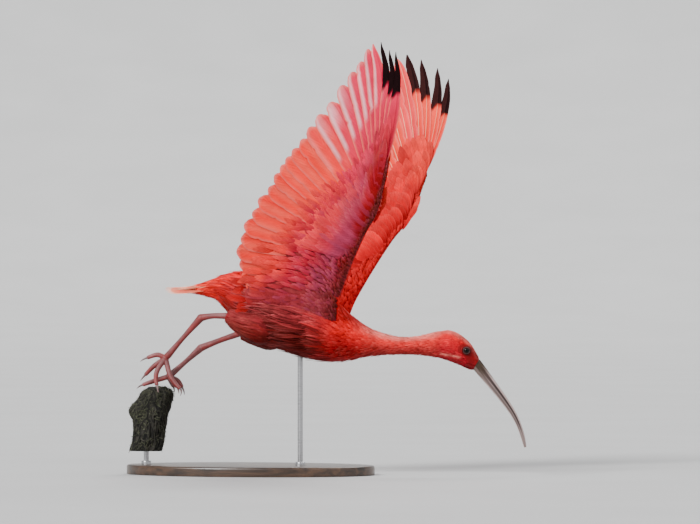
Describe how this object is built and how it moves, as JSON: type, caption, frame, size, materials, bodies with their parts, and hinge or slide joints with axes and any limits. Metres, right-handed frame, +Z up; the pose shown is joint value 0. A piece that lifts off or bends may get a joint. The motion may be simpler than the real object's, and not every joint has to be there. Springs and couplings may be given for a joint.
{
  "type": "life-size scarlet ibis display model",
  "caption": "Life-size scarlet ibis alighting on a snag with both wings raised, on a plain oval display stand with rods.",
  "frame": {"origin": "centre of the underside of the display stand's base", "axes": "+X the way the bird faces, +Y to the bird's left, +Z up"},
  "size_m": [0.6121, 0.4148, 0.6391],
  "materials": {
    "scarlet_plumage": "matte feathers",
    "rose_plumage": "soft short feathers",
    "bill_horn": "satin horn",
    "leg_skin": "scaly bare skin",
    "claw_horn": "dark horn",
    "eye_dark": "wet dark eye",
    "weathered_wood": "weathered dead wood",
    "stained_wood": "stained satin wood",
    "brushed_rod": "brushed steel"
  },
  "bodies": {
    "root": {"head": "rose_plumage", "neck": "rose_plumage", "torso": "scarlet_plumage", "tail": "scarlet_plumage", "wing_right": "scarlet_plumage", "wing_left": "scarlet_plumage", "eye_right": "eye_dark", "eye_left": "eye_dark", "bill_upper": "bill_horn", "bill_lower": "bill_horn", "thigh_right": "scarlet_plumage", "shank_right": "leg_skin", "tarsus_right": "leg_skin", "foot_right": "leg_skin", "thigh_left": "scarlet_plumage", "shank_left": "leg_skin", "tarsus_left": "leg_skin", "foot_left": "leg_skin", "claw_right_hallux": "claw_horn", "claw_right_inner": "claw_horn", "claw_right_middle": "claw_horn", "claw_right_outer": "claw_horn", "claw_left_hallux": "claw_horn", "claw_left_inner": "claw_horn", "claw_left_middle": "claw_horn", "claw_left_outer": "claw_horn", "perch": "weathered_wood", "stand_base": "stained_wood", "stand_rod_body": "brushed_rod", "stand_rod_perch": "brushed_rod"}
  },
  "joints": []
}
